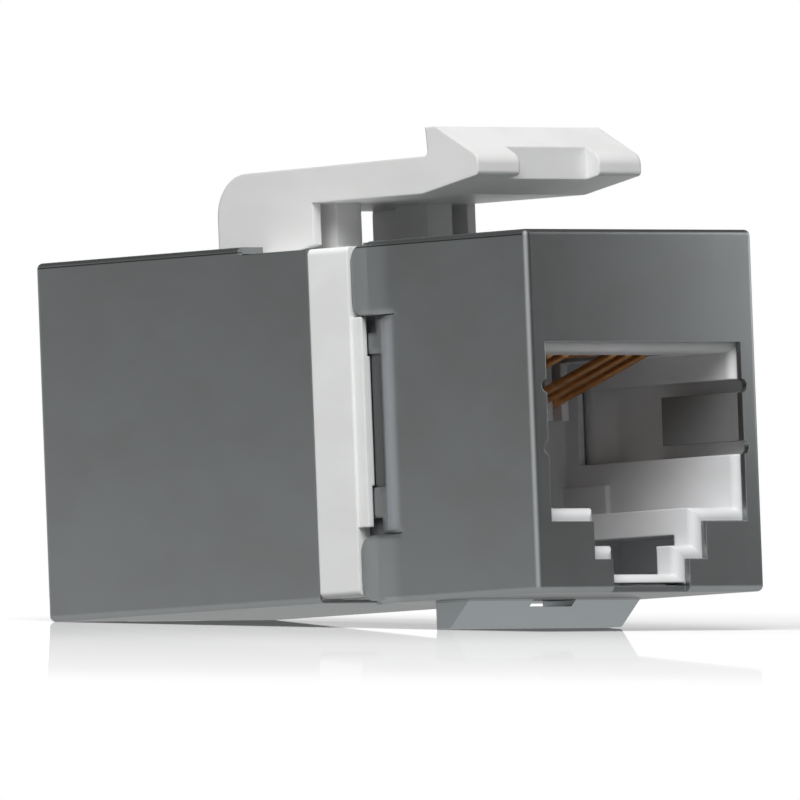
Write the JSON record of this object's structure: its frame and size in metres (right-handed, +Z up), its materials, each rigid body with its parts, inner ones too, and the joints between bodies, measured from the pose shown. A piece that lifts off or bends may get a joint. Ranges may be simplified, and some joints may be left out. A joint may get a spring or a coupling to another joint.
{
  "type": "keystone coupler",
  "caption": "Shielded in-line keystone coupler with a modular jack at each end, a sprung latch on top and a catch lug underneath.",
  "frame": {"origin": "centre of the front port, in the plane of the front face", "axes": "+X to the right seen from the front, +Y rearwards along the ports, +Z up towards the latch"},
  "size_m": [0.0144, 0.0318, 0.0227],
  "materials": {
    "shield": "satin nickel",
    "white_frame": "matte",
    "white_latch": "matte",
    "jack_plastic": "satin",
    "sled_plastic": "matte",
    "contact": "bright",
    "board": "satin"
  },
  "bodies": {
    "body": {"front_shell": "shield", "rear_shell": "shield", "centre_frame": "white_frame", "front_port_insert": "jack_plastic", "rear_port_insert": "jack_plastic", "front_contact_carrier": "sled_plastic", "rear_contact_carrier": "sled_plastic", "circuit_board": "board", "front_contact_1": "contact", "front_contact_2": "contact", "front_contact_3": "contact", "front_contact_4": "contact", "front_contact_5": "contact", "front_contact_6": "contact", "front_contact_7": "contact", "front_contact_8": "contact", "rear_contact_1": "contact", "rear_contact_2": "contact", "rear_contact_3": "contact", "rear_contact_4": "contact", "rear_contact_5": "contact", "rear_contact_6": "contact", "rear_contact_7": "contact", "rear_contact_8": "contact"},
    "latch": {"latch": "white_latch"}
  },
  "joints": [
    {"name": "latch_press", "type": "hinge", "parent": "body", "child": "latch", "pos_m": [0, 0.01665, 0.0087], "axis": [1, 0, 0], "range_deg": [0, 10], "stiffness_Nm_per_rad": 0.3}
  ]
}
